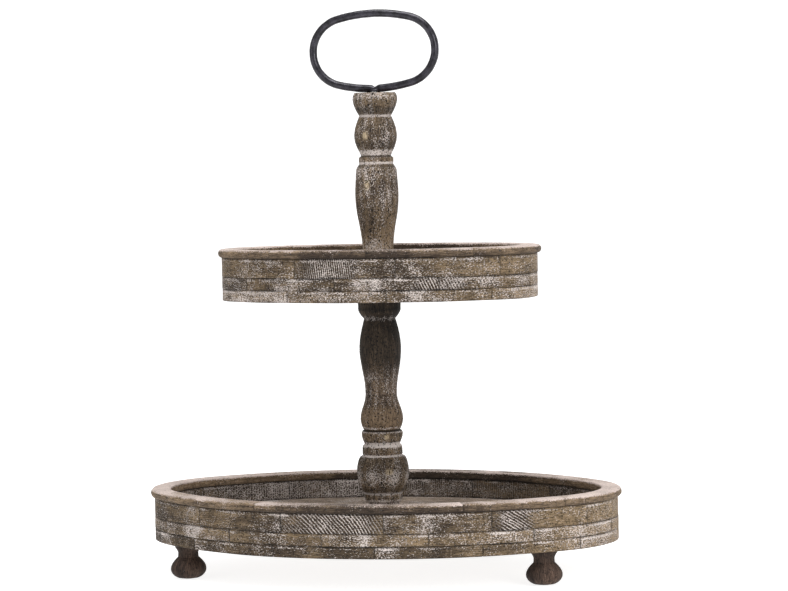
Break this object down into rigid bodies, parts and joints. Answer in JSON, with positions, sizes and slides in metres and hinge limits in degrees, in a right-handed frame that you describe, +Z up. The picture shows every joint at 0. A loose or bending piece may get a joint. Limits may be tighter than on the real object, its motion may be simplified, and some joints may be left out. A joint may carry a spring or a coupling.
{
  "type": "tiered cake stand",
  "caption": "Oval wooden serving stand with a smaller tray above a larger one on a turned centre pole, bun feet and an iron ring handle.",
  "frame": {"origin": "on the surface that the feet stand on, in line with the tie rod", "axes": "+Z up along the tie rod, +X along the trays, to the right when the stand is seen from the front, +Y to the back"},
  "size_m": [0.516, 0.352, 0.6011],
  "materials": {
    "block_wood": "matt, weathered, whitewash left in the saw marks",
    "rim_wood": "matt, weathered, paler on top",
    "floor_wood": "matt, pale wash",
    "turned_wood": "matt, weathered, whitewash left in the grooves",
    "dark_turned_wood": "matt, dark stain, lightly washed",
    "foot_wood": "matt, dark stain",
    "blackened_iron": "forged, oiled black, satin",
    "zinc_steel": "dull zinc",
    "brad_steel": "dark, lightly rusted"
  },
  "bodies": {
    "lower_tier": {"lower_tray_rim": "rim_wood", "lower_tray_brads": "brad_steel", "lower_tray_top_course": "block_wood", "lower_tray_middle_course": "block_wood", "lower_tray_bottom_course": "block_wood", "lower_tray_floor": "floor_wood", "foot_front_left": "foot_wood", "foot_front_right": "foot_wood", "foot_back_left": "foot_wood", "foot_back_right": "foot_wood", "foot_screws": "zinc_steel", "lower_spindle_base": "turned_wood", "bottom_washer": "zinc_steel"},
    "lower_shaft": {"lower_spindle_shaft": "dark_turned_wood"},
    "upper_tier": {"upper_tray_rim": "rim_wood", "upper_tray_brads": "brad_steel", "upper_tray_top_course": "block_wood", "upper_tray_middle_course": "block_wood", "upper_tray_bottom_course": "block_wood", "upper_tray_floor": "floor_wood"},
    "upper_spindle": {"upper_spindle": "turned_wood"},
    "handle": {"handle_ring": "blackened_iron", "tie_rod": "zinc_steel", "bottom_nut": "zinc_steel", "lock_washer": "zinc_steel"}
  },
  "joints": [
    {"name": "lower_shaft_turn", "type": "hinge", "parent": "lower_tier", "child": "lower_shaft", "pos_m": [0, 0, 0.151], "axis": [0, 0, 1], "continuous": true},
    {"name": "upper_tray_swivel", "type": "hinge", "parent": "lower_tier", "child": "upper_tier", "pos_m": [0, 0, 0.293], "axis": [0, 0, 1], "continuous": true},
    {"name": "upper_spindle_turn", "type": "hinge", "parent": "lower_tier", "child": "upper_spindle", "pos_m": [0, 0, 0.3187], "axis": [0, 0, 1], "continuous": true},
    {"name": "handle_turn", "type": "hinge", "parent": "lower_tier", "child": "handle", "pos_m": [0, 0, 0.5126], "axis": [0, 0, 1], "continuous": true}
  ]
}
